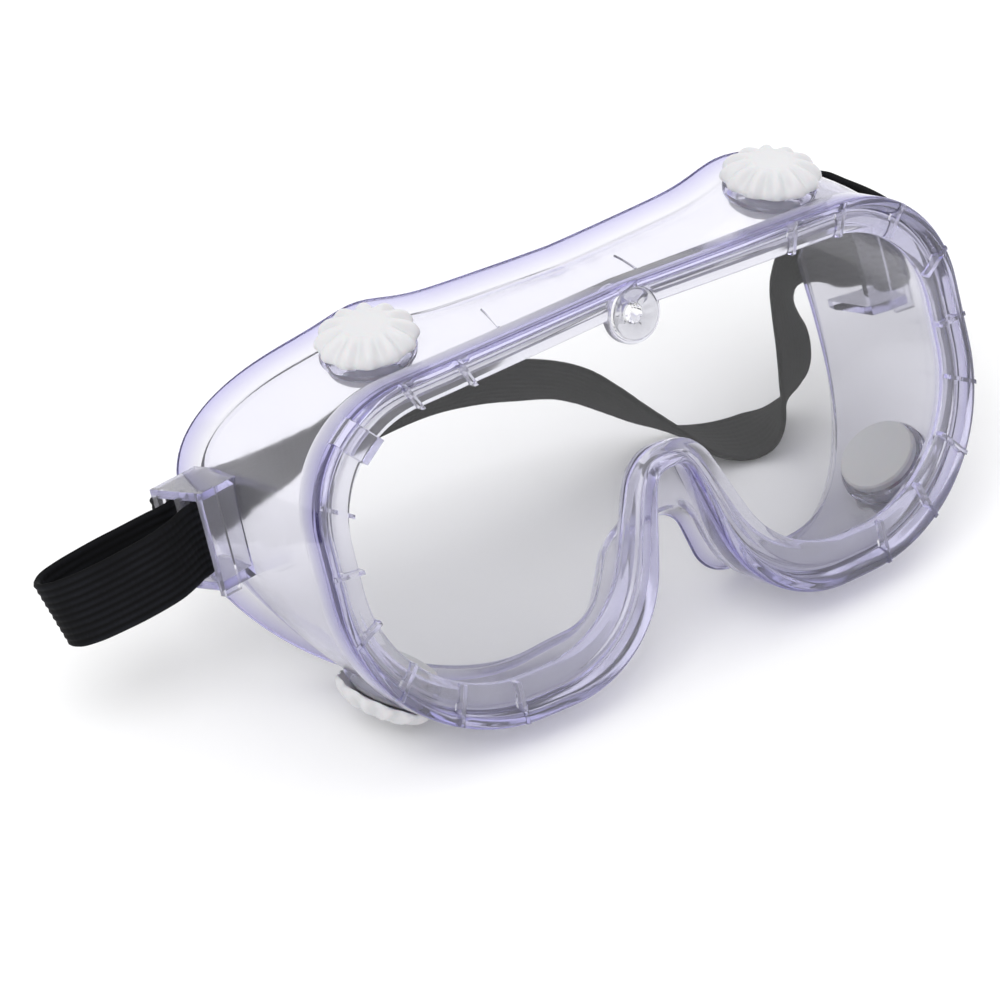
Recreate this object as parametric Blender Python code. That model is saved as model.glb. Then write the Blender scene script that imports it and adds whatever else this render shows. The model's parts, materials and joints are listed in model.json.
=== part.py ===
"""Chemical splash goggles: soft clear body, snapped-in lens, four ribbed vent caps, elastic strap.

Lengths are millimetres until a mesh is written, then metres. Two frames are used:
  lens frame  u across, v up along the lens, w back from the lens towards the face
  row frame   X across, Y back towards the face, Z up, standing on the floor at Z = 0
"""

import math

import bmesh
import bpy
import numpy as np
from mathutils import Matrix, Vector

# ---------------------------------------------------------------- driving sizes
TILT = math.radians(22.0)       # the lens leans back at the top
LENS_BOW = 0.0006               # lens surface: w = LENS_BOW * u * u
GAP = 0.3                       # air between parts that touch

# contours as corners (u, v, corner radius), one half, from the top centre to the nose
OPENING = ((0.0, 30.9), (73.2, 27.4, 22.0), (73.2, -33.2, 30.0), (22.5, -33.2, 24.0),
           (7.8, 1.9, 10.5), (0.0, 1.9))
RIM = ((0.0, 37.2), (80.2, 34.4, 25.5), (80.2, -43.0, 38.0), (13.5, -43.0, 27.0),
       (4.2, -3.2, 3.6), (0.0, -3.2))
FLANGE = ((0.0, 42.0), (80.5, 44.2, 31.0), (85.0, -46.0, 46.0), (15.0, -38.0, 12.0),
          (8.6, -19.6, 6.5), (0.0, -19.0))
# points made along each straight run and each corner of a half contour; from the cheek to
# the nose they are then spaced evenly again, NOSE_STEPS of them
RUNS = (7, 3, 12, 12, 6)
CORNERS = (9, 9, 24, 24)
NOSE_STEPS = 18
# how far back the flange edge lies: top centre, brow, temple top, temple bottom, cheek, nose
EDGE_BACK = (27.0, 29.0, 57.0, 61.5, 22.5, 17.0)
BROW_LIFT, BROW_U, BROW_SPREAD = 2.2, 46.0, 9.0   # the flange rises over each brow

LIP_FLARE, NOSE_FLARE = 3.6, 2.0   # the flange lip turns out by this, less at the nose ...
LIP_DEPTH = 4.2                 # ... over this depth
WALL = 1.8                      # body wall
LIP_T = 1.3                     # flange lip thickness at its edge
RIM_FRONT = -3.6                # front of the outer bead
RIM_BACK = 5.6                  # back of the rim, where the wall starts
LENS_T = 2.0                    # lens thickness
LENS_FRONT = 0.5                # lens front surface at the centre

VENT_TOP = (50.8, 39.0, 18.0)   # vent centres on the wall, right side, lens frame
VENT_LOW = (65.2, -32.3, 20.0)
VENT_TOP_SEAT, VENT_LOW_SEAT = -2.9, -3.6   # inner face of the boss, from the middle of the wall
VENT_CAP_R = 10.9
VENT_CAP_H = 5.4
VENT_RIBS = 12
VENT_TUBE_R = 7.2
VENT_DISC_R = 8.7
BOSS_R = 9.8

BUTTON_V = 30.4
BUTTON_R = 5.5
BUTTON_BUMP = 1.0              # the body stands out this far around the button

STRAP_W = 16.0
STRAP_T = 1.4

LUG_FRONT_W = 33.0              # lug: front plate position
LUG_LONG = 15.8
LUG_TALL = 21.4
LUG_MID_V = 7.7
LUG_OUT_U = 88.4
LUG_SLANT = math.radians(14.0)
LUG_SLOT_H = 17.8
LUG_BAR = 2.1
LUG_SLOTS = ((1.6, 6.8), (9.0, 14.2))

CT, ST = math.cos(TILT), math.sin(TILT)
CHEEK = RUNS[0] + CORNERS[0] + RUNS[1] + CORNERS[1]

# materials: name, colour, roughness, metallic
CLEAR_PVC = ("clear_pvc", (0.78, 0.77, 0.90), 0.18, 0.0)
CLEAR_PC = ("clear_polycarbonate", (0.92, 0.93, 0.96), 0.05, 0.0)
WHITE_PP = ("white_plastic", (0.86, 0.86, 0.87), 0.42, 0.0)
BLACK_ELASTIC = ("black_elastic", (0.012, 0.012, 0.014), 0.9, 0.0)


def to_row(p):
    """A point of the lens frame in the row frame, before the object is set on the floor."""
    u, v, w = p
    return Vector((u, v * ST + w * CT, v * CT - w * ST))


def material(spec):
    name, colour, rough, metal = spec
    mat = bpy.data.materials.get(name) or bpy.data.materials.new(name)
    mat.use_nodes = True
    node = mat.node_tree.nodes["Principled BSDF"]
    node.inputs["Base Color"].default_value = (*colour, 1.0)
    node.inputs["Roughness"].default_value = rough
    node.inputs["Metallic"].default_value = metal
    return mat


def half_contour(corners):
    """Points of one half of a contour: runs and corners, then even steps from cheek to nose."""
    pts = [Vector(c[:2]) for c in corners]
    arcs = []
    for i in range(1, len(pts) - 1):
        a = (pts[i - 1] - pts[i]).normalized()
        b = (pts[i + 1] - pts[i]).normalized()
        half = a.angle(b) / 2
        radius = corners[i][2]
        cut = radius / math.tan(half)
        centre = pts[i] + (a + b).normalized() * (radius / math.sin(half))
        arcs.append((pts[i] + a * cut, pts[i] + b * cut, centre, radius))
    out = []
    start = pts[0]
    for i, (first, last, centre, radius) in enumerate(arcs):
        for k in range(RUNS[i]):
            out.append(start.lerp(first, k / RUNS[i]))
        a0 = math.atan2(*(first - centre).yx)
        a1 = math.atan2(*(last - centre).yx)
        turn = (a1 - a0 + math.pi) % (2 * math.pi) - math.pi
        for k in range(CORNERS[i]):
            ang = a0 + turn * k / CORNERS[i]
            out.append(centre + Vector((math.cos(ang), math.sin(ang))) * radius)
        start = last
    for k in range(RUNS[-1] + 1):
        out.append(start.lerp(pts[-1], k / RUNS[-1]))
    return out[:CHEEK] + even(out[CHEEK:], NOSE_STEPS)


def even(line, steps):
    """A line of points spaced evenly again."""
    at = [0.0]
    for a, b in zip(line, line[1:]):
        at.append(at[-1] + (b - a).length)
    out = []
    for k in range(steps + 1):
        want = at[-1] * k / steps
        j = min(len(at) - 2, max(i for i in range(len(at)) if at[i] <= want + 1e-9))
        out.append(line[j].lerp(line[j + 1], (want - at[j]) / (at[j + 1] - at[j])))
    return out


def full(half):
    """The closed contour from its half: mirrored, with the two middle points once."""
    mirror = [(-p[0], *p[1:]) for p in half[-2:0:-1]]
    return [tuple(p) for p in half] + mirror


def smooth(t):
    return t * t * (3 - 2 * t)


def edge_back():
    """How far back the flange edge lies at each point of its half contour."""
    steps = (RUNS[0], CORNERS[0], RUNS[1], CORNERS[1], NOSE_STEPS)
    out = []
    for j, count in enumerate(steps):
        a, b = EDGE_BACK[j], EDGE_BACK[j + 1]
        out += [a + (b - a) * (smooth(k / count) if j != 2 else k / count) for k in range(count)]
    return out + [EDGE_BACK[-1]]


def normals(points):
    """Unit normals of a closed contour in the lens plane, pointing away from the opening."""
    n = len(points)
    out = []
    for i in range(n):
        a, b = Vector(points[i - 1][:2]), Vector(points[(i + 1) % n][:2])
        d = (b - a).normalized()
        out.append(Vector((-d.y, d.x)))
    area = sum(points[i - 1][0] * points[i][1] - points[i][0] * points[i - 1][1] for i in range(n))
    return out if area < 0 else [-v for v in out]


def brow(p):
    return BROW_LIFT * math.exp(-((p.x - BROW_U) / BROW_SPREAD) ** 2) if p.y > 20 else 0.0


HALF_I = half_contour(OPENING)
HALF_R = half_contour(RIM)
HALF_F = half_contour(FLANGE)
BACK = edge_back()
INNER = full([(*p, 0.0) for p in HALF_I])
OUTER = full([(*p, 0.0) for p in HALF_R])
EDGE = full([(p.x, p.y + brow(p), BACK[i]) for i, p in enumerate(HALF_F)])
STATIONS = len(INNER)
N_RIM = normals(OUTER)
N_EDGE = normals(EDGE)


def bow(u):
    return LENS_BOW * u * u


def across(i, f, w):
    """A point of station i: f = 0 on the opening, 1 on the rim's outside, at depth w."""
    u = INNER[i][0] + (OUTER[i][0] - INNER[i][0]) * f
    v = INNER[i][1] + (OUTER[i][1] - INNER[i][1]) * f
    return Vector((u, v, w + bow(u)))


def off_rim(i, out, w):
    """A point of station i, out millimetres outside the rim's outer contour, at depth w."""
    u = OUTER[i][0] + N_RIM[i].x * out
    v = OUTER[i][1] + N_RIM[i].y * out
    return Vector((u, v, w + bow(u)))


def off_edge(i, out, w):
    """A point of station i, out millimetres outside the flange edge, w back from it."""
    return Vector((EDGE[i][0] + N_EDGE[i].x * out, EDGE[i][1] + N_EDGE[i].y * out, EDGE[i][2] + w))


def flare(i):
    k = min(i, STATIONS - i)
    t = max(0.0, (k - CHEEK) / NOSE_STEPS)
    return LIP_FLARE + (NOSE_FLARE - LIP_FLARE) * smooth(t)


def skin(i, t):
    """The outer skin of the body wall between the rim (t = 0) and the flange lip (t = 1)."""
    i %= STATIONS
    a = off_rim(i, -0.9, RIM_BACK + 1.0)
    b = off_edge(i, -flare(i), -LIP_DEPTH)
    return a.lerp(b, t) + Vector((N_RIM[i].x, N_RIM[i].y, 0.0)) * (1.1 * math.sin(math.pi * t))


def skin_normal(i, t):
    """Unit normal of the outer skin, pointing away from the space inside."""
    along = skin(i + 1, t) - skin(i - 1, t)
    back = skin(i, min(1.0, t + 0.2)) - skin(i, max(0.0, t - 0.2))
    return back.cross(along).normalized()


def wall_point(i, t, inset):
    """A point of the body wall, inset from its outer skin."""
    return skin(i, t) - skin_normal(i, t) * inset


def lip_inner(i):
    """The inner corner of the flange edge."""
    i %= STATIONS
    along = off_edge((i + 1) % STATIONS, 0, 0) - off_edge((i - 1) % STATIONS, 0, 0)
    back = off_edge(i, 0, 0) - skin(i, 1.0)
    return off_edge(i, 0, 0) - back.cross(along).normalized() * LIP_T - back.normalized() * 0.3


def section(i):
    """The closed cross-section of the body at station i."""
    edge = off_edge(i, 0, 0)
    return [
        across(i, 0.00, LENS_FRONT - GAP),
        across(i, 0.00, -1.1),
        across(i, 0.12, -1.8),
        across(i, 0.44, -1.8),
        across(i, 0.52, -0.7),
        across(i, 0.66, -0.7),
        across(i, 0.72, -2.9),
        across(i, 0.80, RIM_FRONT),
        across(i, 0.94, RIM_FRONT),
        across(i, 1.00, -2.9),
        across(i, 1.00, RIM_BACK - 0.6),
        off_rim(i, -0.5, RIM_BACK),
        skin(i, 0.0),
        skin(i, 0.33),
        skin(i, 0.67),
        skin(i, 1.0),
        edge,
        lip_inner(i),
        wall_point(i, 1.0, WALL),
        wall_point(i, 0.67, WALL),
        wall_point(i, 0.33, WALL),
        wall_point(i, 0.0, WALL),
        across(i, 0.20, RIM_BACK - 1.0),
        across(i, 0.14, LENS_FRONT + LENS_T + GAP),
        across(i, 0.62, LENS_FRONT + LENS_T + GAP),
        across(i, 0.62, LENS_FRONT - GAP),
    ]


def finish_mesh(bm, name, spec, origin=None):
    """Writes a mesh given in lens-frame millimetres as an object in row-frame metres."""
    bmesh.ops.remove_doubles(bm, verts=bm.verts, dist=0.0005)
    twisted = [f for f in bm.faces if len(f.verts) == 4]
    bmesh.ops.triangulate(bm, faces=twisted)
    mesh = bpy.data.meshes.new(name)
    for v in bm.verts:
        v.co = to_row(v.co) * 0.001
    bm.normal_update()
    bmesh.ops.recalc_face_normals(bm, faces=bm.faces)
    bm.to_mesh(mesh)
    bm.free()
    ob = bpy.data.objects.new(name, mesh)
    bpy.context.scene.collection.objects.link(ob)
    if spec:
        mesh.materials.append(material(spec))
    if origin is not None:
        at = to_row(origin) * 0.001
        mesh.transform(Matrix.Translation(-at))
        ob.location = at
    return ob


def loft(rings, closed_ring=True, closed_path=True):
    """A mesh through rings of equal length."""
    bm = bmesh.new()
    grid = [[bm.verts.new(p) for p in ring] for ring in rings]
    n, m = len(grid), len(grid[0])
    for i in range(n if closed_path else n - 1):
        for k in range(m if closed_ring else m - 1):
            a, b = grid[i], grid[(i + 1) % n]
            bm.faces.new((a[k], a[(k + 1) % m], b[(k + 1) % m], b[k]))
    if not closed_path and closed_ring:
        bm.faces.new(grid[0])
        bm.faces.new(grid[-1][::-1])
    bmesh.ops.recalc_face_normals(bm, faces=bm.faces)
    return bm


def frame_at(point, axis, toward=(1.0, 0.0, 0.0)):
    """A matrix whose Z is axis, at point, with X as close as can be to toward."""
    z = Vector(axis).normalized()
    x = (Vector(toward) - z * Vector(toward).dot(z)).normalized()
    y = z.cross(x)
    m = Matrix((x, y, z)).transposed().to_4x4()
    m.translation = Vector(point)
    return m


def turned(profile, sides, matrix, modulate=None):
    """A solid turned about Z from (radius, height) points; radius 0 at both ends."""
    bm = bmesh.new()
    rings = []
    for k, (r, z) in enumerate(profile):
        if r < 1e-6:
            rings.append([bm.verts.new((0, 0, z))])
            continue
        ring = []
        for j in range(sides):
            a = 2 * math.pi * j / sides
            rr, zz = modulate(k, r, z, a) if modulate else (r, z)
            ring.append(bm.verts.new((rr * math.cos(a), rr * math.sin(a), zz)))
        rings.append(ring)
    for a, b in zip(rings, rings[1:]):
        for j in range(sides):
            j2 = (j + 1) % sides
            if len(a) == 1 and len(b) > 1:
                bm.faces.new((a[0], b[j], b[j2]))
            elif len(b) == 1 and len(a) > 1:
                bm.faces.new((a[j], b[0], a[j2]))
            elif len(a) > 1:
                bm.faces.new((a[j], b[j], b[j2], a[j2]))
    if len(rings[0]) > 1 and len(rings[-1]) > 1:
        for j in range(sides):
            j2 = (j + 1) % sides
            bm.faces.new((rings[-1][j], rings[0][j], rings[0][j2], rings[-1][j2]))
    bmesh.ops.transform(bm, matrix=matrix, verts=bm.verts)
    bmesh.ops.recalc_face_normals(bm, faces=bm.faces)
    return bm


def block(a0, a1, b0, b1, c0, c1, matrix):
    """A box given by its limits in a local frame."""
    bm = bmesh.new()
    bmesh.ops.create_cube(bm, size=1.0)
    for v in bm.verts:
        v.co = Vector((a0 if v.co.x < 0 else a1, b0 if v.co.y < 0 else b1, c0 if v.co.z < 0 else c1))
    bmesh.ops.transform(bm, matrix=matrix, verts=bm.verts)
    bmesh.ops.recalc_face_normals(bm, faces=bm.faces)
    return bm


def apply_boolean(target, tool, operation):
    mod = target.modifiers.new(operation.lower(), "BOOLEAN")
    mod.operation = operation
    mod.solver = "EXACT"
    mod.object = tool
    graph = bpy.context.evaluated_depsgraph_get()
    mesh = bpy.data.meshes.new_from_object(target.evaluated_get(graph), depsgraph=graph)
    target.modifiers.clear()
    old = target.data
    target.data = mesh
    mesh.name = old.name + "_cut"
    bpy.data.meshes.remove(old)
    bpy.data.objects.remove(tool)


def tool_object(bm, name="tool"):
    ob = finish_mesh(bm, name, None)
    ob.hide_render = True
    ob.display_type = "WIRE"
    return ob


# ---------------------------------------------------------------- places on the wall
def wall_frame(target):
    """Point and outward normal on the middle of the wall nearest the wanted place."""
    best = None
    for step in range(10 * (len(HALF_I) - 1)):
        i, part = step // 10, step % 10 / 10
        for k in range(41):
            a, b = (wall_point(j, k / 40, WALL / 2) for j in (i, i + 1))
            p = a.lerp(b, part)
            cost = (p - Vector(target)).length
            if best is None or cost < best[0]:
                best = (cost, p, skin_normal(i, k / 40).lerp(skin_normal(i + 1, k / 40), part))
    return best[1], best[2].normalized()


def mirrored(p):
    return Vector((-p[0], p[1], p[2]))


VENTS = {}
for label, at in (("top", wall_frame(VENT_TOP)), ("bottom", wall_frame(VENT_LOW))):
    VENTS[label + "_right"] = at
    VENTS[label + "_left"] = (mirrored(at[0]), mirrored(at[1]))


def seat_level(key):
    return VENT_LOW_SEAT if key.startswith("bottom") else VENT_TOP_SEAT


def lug_matrix(side):
    """Local frame of a strap lug: X back along its face, Y outward, Z up the lens."""
    sx = 1.0 if side == "right" else -1.0
    x = Vector((sx * math.sin(LUG_SLANT), 0.0, math.cos(LUG_SLANT)))
    y = Vector((sx * math.cos(LUG_SLANT), 0.0, -math.sin(LUG_SLANT)))
    z = Vector((0.0, 1.0, 0.0))
    m = Matrix((x, y, z)).transposed().to_4x4()
    m.translation = Vector((sx * LUG_OUT_U, LUG_MID_V, LUG_FRONT_W))
    return m


def make_lug(side):
    """A strap lug: two end plates, a front wall and two posts, its foot inside the body wall."""
    m = lug_matrix(side)
    tall, slot = LUG_TALL / 2, LUG_SLOT_H / 2
    lug = tool_object(block(0, LUG_LONG, -13, 0, slot, tall, m), "lug")
    pieces = [(0, LUG_LONG, -13, 0, -tall, -slot),
              (0.12, 1.75, -12.8, -0.15, -tall + 0.5, tall - 0.5),
              (LUG_SLOTS[0][1], LUG_SLOTS[1][0], -LUG_BAR, -0.1, -tall + 0.4, tall - 0.4),
              (LUG_SLOTS[1][1], LUG_LONG - 0.1, -LUG_BAR, -0.1, -tall + 0.4, tall - 0.4)]
    for k, limits in enumerate(pieces):
        apply_boolean(lug, tool_object(block(*limits, m)), "UNION")
    depths = (0.0, 0.33, 0.67, 1.0)
    near = range(RUNS[0] + CORNERS[0] - 4, RUNS[0] + CORNERS[0] + RUNS[1] + 4)
    near = near if side == "right" else [STATIONS - i for i in near]
    core = loft([[wall_point(i, t, WALL * 0.55) for t in depths]
                 + [wall_point(i, t, WALL + 8) for t in depths[::-1]] for i in near],
                closed_path=False)
    apply_boolean(lug, tool_object(core), "DIFFERENCE")
    plate = block(-0.9, 0.9, -3.4, 0.9, -tall - 0.8, tall + 0.4, m)
    apply_boolean(lug, tool_object(plate), "UNION")
    return lug


# ---------------------------------------------------------------- pieces
def make_body():
    body = finish_mesh(loft([section(i) for i in range(STATIONS)]), "frame_body", CLEAR_PVC)
    r = VENT_TUBE_R + GAP
    for p, n in VENTS.values():
        hole = turned(((0, -6), (r + 0.6, -6), (r + 0.6, 6), (0, 6)), 32, frame_at(p, n))
        apply_boolean(body, tool_object(hole), "DIFFERENCE")
    for key, (p, n) in VENTS.items():
        low = seat_level(key)
        boss = turned(((r, low), (BOSS_R, low), (BOSS_R, 1.1), (r, 1.1)), 32, frame_at(p, n))
        apply_boolean(body, tool_object(boss), "UNION")
    for side in ("left", "right"):
        apply_boolean(body, make_lug(side), "UNION")
    # a rounded bump under the top rim carries the lens button
    m = frame_at((0, BUTTON_V, 0), (0, 0, 1))
    r = BUTTON_R + BUTTON_BUMP
    front = turned(((0, -2.1), (r, -2.1), (r, 0.1), (0, 0.1)), 32, m)
    apply_boolean(body, tool_object(front), "UNION")
    r = BUTTON_R + GAP
    pocket = turned(((0, -6), (r, -6), (r, -0.9), (2.3 + GAP, -0.9), (2.3 + GAP, 12), (0, 12)), 32, m)
    apply_boolean(body, tool_object(pocket), "DIFFERENCE")
    return body


def make_lens():
    shrink = 0.545
    loop = [across(i, shrink, 0.0) for i in range(STATIONS)]
    bm = bmesh.new()
    front = [bm.verts.new((p.x, p.y, LENS_FRONT)) for p in loop]
    back = [bm.verts.new((p.x, p.y, LENS_FRONT + LENS_T)) for p in loop]
    bm.faces.new(front)
    bm.faces.new(back[::-1])
    for i in range(STATIONS):
        j = (i + 1) % STATIONS
        bm.faces.new((front[i], back[i], back[j], front[j]))
    bmesh.ops.recalc_face_normals(bm, faces=bm.faces)
    step = 10.0
    for k in range(-7, 8):
        geom = bm.verts[:] + bm.edges[:] + bm.faces[:]
        bmesh.ops.bisect_plane(bm, geom=geom, plane_co=(k * step, 0, 0), plane_no=(1, 0, 0), dist=1e-4)
    bmesh.ops.triangulate(bm, faces=bm.faces)
    for v in bm.verts:
        v.co.z += bow(v.co.x)
    lens = finish_mesh(bm, "lens", CLEAR_PC)
    m = frame_at((0, BUTTON_V, 0), (0, 0, 1))
    hole = turned(((0, -3), (2.3 + GAP, -3), (2.3 + GAP, 8), (0, 8)), 24, m)
    apply_boolean(lens, tool_object(hole), "DIFFERENCE")
    return lens


def make_vent(key):
    p, n = VENTS[key]
    m = frame_at(p, n)
    top, ribs = 1.1 + GAP, VENT_RIBS
    # seat: inner disc, tube through the wall, flat crown with a socket for the cap's stem
    low = seat_level(key) - GAP
    seat = turned(((0, low - 1.8), (VENT_DISC_R, low - 1.8), (VENT_DISC_R, low),
                   (VENT_TUBE_R, low), (VENT_TUBE_R, top + 0.7), (5.9, top + 0.7), (5.9, low + 0.4),
                   (3.2, low + 0.4), (3.2, top + 0.7), (2.1, top + 0.7), (2.1, low + 0.4), (0, low + 0.4)),
                  32, m)
    finish_mesh(seat, "vent_seat_" + key, WHITE_PP, origin=p)

    def scallop(k, r, z, a):
        wave = 0.5 - 0.5 * math.cos(ribs * a)
        if k in (3, 4):
            return r - 1.1 * wave, z
        if k == 5:
            return r - 0.7 * wave, z - 0.35 * wave
        return r, z

    crown = top + VENT_CAP_H
    cap = turned(((0, top - 1.2), (1.8, top - 1.2), (1.8, crown - 1.6),
                  (VENT_CAP_R - 0.8, top + 0.2), (VENT_CAP_R, top + 0.5), (VENT_CAP_R - 1.6, crown - 1.3),
                  (5.6, crown - 0.25), (0, crown)),
                 48, m, lambda k, r, z, a: scallop(k, r, z, a))
    finish_mesh(cap, "vent_cap_" + key, WHITE_PP, origin=p)


def make_button():
    m = frame_at((0, BUTTON_V, 0), (0, 0, -1))
    back = LENS_FRONT + LENS_T + GAP
    head = turned(((0, 2.3), (1.1, 1.9), (2.0, 2.6), (4.4, 3.0), (BUTTON_R, 2.4), (BUTTON_R, 0.9 + GAP),
                   (2.3, 0.9 + GAP), (2.3, -back - 3.4), (0, -back - 3.4)), 32, m)
    finish_mesh(head, "lens_button", CLEAR_PC)


def spline(points):
    """Close points along a smooth curve through the given ones; extra columns are blended."""
    pts = [np.array(p, float) for p in points]
    pts = [2 * pts[0] - pts[1]] + pts + [2 * pts[-1] - pts[-2]]
    dense = []
    for i in range(1, len(pts) - 2):
        p0, p1, p2, p3 = pts[i - 1:i + 3]
        t0 = 0.0
        t1 = t0 + np.linalg.norm(p1 - p0)[()] ** 0.5
        t2 = t1 + np.linalg.norm(p2 - p1) ** 0.5
        t3 = t2 + np.linalg.norm(p3 - p2) ** 0.5
        for k in range(40):
            t = t1 + (t2 - t1) * k / 40
            a1 = (t1 - t) / (t1 - t0) * p0 + (t - t0) / (t1 - t0) * p1
            a2 = (t2 - t) / (t2 - t1) * p1 + (t - t1) / (t2 - t1) * p2
            a3 = (t3 - t) / (t3 - t2) * p2 + (t - t2) / (t3 - t2) * p3
            b1 = (t2 - t) / (t2 - t0) * a1 + (t - t0) / (t2 - t0) * a2
            b2 = (t3 - t) / (t3 - t1) * a2 + (t - t1) / (t3 - t1) * a3
            dense.append((t2 - t) / (t2 - t1) * b1 + (t - t1) / (t2 - t1) * b2)
    dense.append(pts[-2])
    return np.array(dense)


def thinned(dense, turn=14.0, reach=6.5):
    """Drops points from a close line while it stays smooth: turn in degrees, reach in mm."""
    kept = [0]
    last = None
    for k in range(1, len(dense) - 1):
        d = Vector(dense[k + 1][:3] - dense[k][:3])
        if d.length < 1e-9:
            continue
        last = last or d
        far = np.linalg.norm(dense[k][:3] - dense[kept[-1]][:3])
        if math.degrees(d.angle(last)) > turn or far > reach:
            kept.append(k)
            last = d
    return dense[kept + [len(dense) - 1]]


# ---------------------------------------------------------------- strap
def from_row(x, y, z):
    return (x, y * ST + z * CT, y * CT - z * ST)


def by_lug(side, a, b, v=0.0):
    """A lens-frame point given in the local frame of a lug."""
    return tuple(lug_matrix(side) @ Vector((a, b, v)))


def strap_controls(floor):
    """Centre points and width directions of the strap, from its left end to its right end."""
    up = (0.0, 1.0, 0.0)
    left = [(by_lug("left", a, b), up) for a, b in (
        (9.3, -3.5), (7.9, -3.5), (6.6, -3.4), (5.6, -2.6), (5.2, -1.0), (5.0, 0.8))]
    sag, crease = (-0.10, 0.99, 0.0), (-0.27, 0.95, 0.0)
    left += [(by_lug("left", a, b, v), d) for a, b, v, d in (
        (4.7, 4.0, -0.7, up), (4.8, 9.0, -1.6, sag), (6.6, 15.5, -2.6, sag), (9.4, 22.0, -3.6, crease),
        (12.4, 27.2, -4.3, crease), (15.8, 29.9, -4.7, crease), (19.2, 29.4, -4.8, crease),
        (21.2, 26.6, -4.4, crease), (21.0, 21.6, -3.6, crease), (18.8, 15.0, -2.5, sag),
        (15.8, 8.8, -1.4, sag), (13.2, 3.8, -0.5, up))]
    left += [(by_lug("left", a, b, v), up) for a, b, v in (
        (12.0, 1.2, -0.1), (12.1, -1.0, 0.0), (12.9, -2.8, 0.0), (14.4, -3.7, -0.1),
        (16.4, -4.4, -0.4), (19.5, -5.8, -1.3))]
    left += [((-86.5, 5.4, 57.0), up), ((-86.3, 4.5, 60.6), up), ((-84.4, 4.0, 63.4), up),
             ((-80.6, 3.9, 64.7), up), ((-75.6, 4.4, 65.0), (0.0, 1.0, -0.1))]
    # row frame: place, then the direction of the width
    middle = [(-65.5, 61.0, -18.2, 0.0, -0.05, 0.99), (-53.7, 60.0, -15.6, 0.0, -0.26, 0.96),
              (-36.0, 59.0, -12.9, 0.0, -0.36, 0.93),
              (-17.8, 58.0, -11.7, 0.05, -0.40, 0.91), (-4.8, 57.0, -13.5, 0.08, -0.42, 0.90),
              (6.0, 56.0, -16.9, 0.10, -0.48, 0.87), (14.1, 55.0, -20.6, 0.14, -0.62, 0.78),
              (20.5, 53.8, -25.2, 0.16, -0.76, 0.63), (27.1, 52.2, -30.9, 0.17, -0.87, 0.46),
              (35.6, 49.4, floor + 8.1, 0.14, -0.95, 0.28), (43.6, 46.6, floor + 2.9, 0.05, -0.99, 0.08),
              (51.4, 43.9, floor + 1.15, 0.0, -1.0, 0.0), (56.5, 42.4, floor + 2.1, -0.10, -0.99, 0.10),
              (61.0, 41.9, floor + 5.0, -0.40, -0.85, 0.34), (64.4, 42.2, floor + 9.4, -0.68, -0.60, 0.42),
              (66.6, 43.3, floor + 13.6, -0.80, -0.42, 0.44), (68.6, 45.9, floor + 17.6, -0.80, -0.32, 0.50),
              (70.8, 50.4, floor + 21.6, -0.72, -0.22, 0.64), (73.8, 56.2, floor + 24.0, -0.50, -0.12, 0.82),
              (77.4, 60.6, floor + 25.6, -0.22, -0.04, 0.96), (81.2, 62.7, floor + 27.0, 0.0, 0.0, 1.0),
              (84.8, 61.4, floor + 28.4, 0.0, 0.03, 1.0), (86.7, 58.5, floor + 29.6, 0.0, 0.10, 1.0),
              (86.9, 55.0, floor + 30.8, 0.0, 0.22, 0.97)]
    right = []
    right += [(by_lug("right", a, b, v), up) for a, b, v in (
        (19.5, -5.6, -0.7), (16.2, -4.3, -0.2), (14.4, -3.7, 0.0), (12.9, -2.8, 0.0), (12.2, -1.0, 0.0),
        (12.1, 0.8, 0.0), (13.2, 2.2, 0.0), (16.5, 2.4, 0.0))]
    tilt = (0.0, 1.0, 0.0)
    right += [(by_lug("right", a, b, v), d) for a, b, v, d in (
        (24.0, 0.8, 0.6, tilt), (33.0, -1.6, 1.4, tilt), (41.0, -3.8, 2.2, tilt), (45.2, -4.2, 2.6, tilt),
        (48.4, -2.6, 2.8, tilt), (48.8, 0.4, 2.8, tilt), (45.8, 2.6, 2.6, tilt), (38.0, 4.2, 1.8, tilt),
        (28.0, 5.6, 1.0, tilt), (18.0, 5.9, 0.4, tilt), (10.6, 4.9, 0.1, up))]
    right += [(by_lug("right", a, b), up) for a, b in (
        (6.6, 3.0), (5.1, 1.0), (5.2, -1.0), (5.6, -2.6), (6.6, -3.4), (7.9, -3.5), (9.3, -3.5))]
    mid = [(from_row(*row[:3]), from_row(*row[3:])) for row in middle]
    return [(*p, *d) for p, d in left + mid + right]


def make_strap(floor):
    rings = []
    line = thinned(spline(strap_controls(floor)))
    for k, row in enumerate(line):
        p = Vector(row[:3])
        along = Vector(line[min(k + 1, len(line) - 1)][:3] - line[max(k - 1, 0)][:3]).normalized()
        wide = Vector(row[3:])
        wide = (wide - along * wide.dot(along)).normalized() * (STRAP_W / 2)
        thick = along.cross(wide).normalized() * (STRAP_T / 2)
        rings.append([p + wide + thick, p + wide - thick, p - wide - thick, p - wide + thick])
    return finish_mesh(loft(rings, closed_path=False), "strap", BLACK_ELASTIC)


def set_on_floor(floor):
    """Moves everything so the goggles stand on Z = 0, centred on the origin in X and Y."""
    low = []
    high = []
    for ob in bpy.data.objects:
        if ob.type == "MESH" and ob.name != "strap":
            pts = [ob.location + v.co for v in ob.data.vertices]
            low.append([min(p[k] for p in pts) for k in range(3)])
            high.append([max(p[k] for p in pts) for k in range(3)])
    mid = [(min(a[k] for a in low) + max(b[k] for b in high)) / 2 for k in range(2)]
    shift = Vector((-mid[0], -mid[1], -floor))
    for ob in bpy.data.objects:
        if ob.location.length > 1e-9:
            ob.location += shift
        else:
            ob.data.transform(Matrix.Translation(shift))


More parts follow.
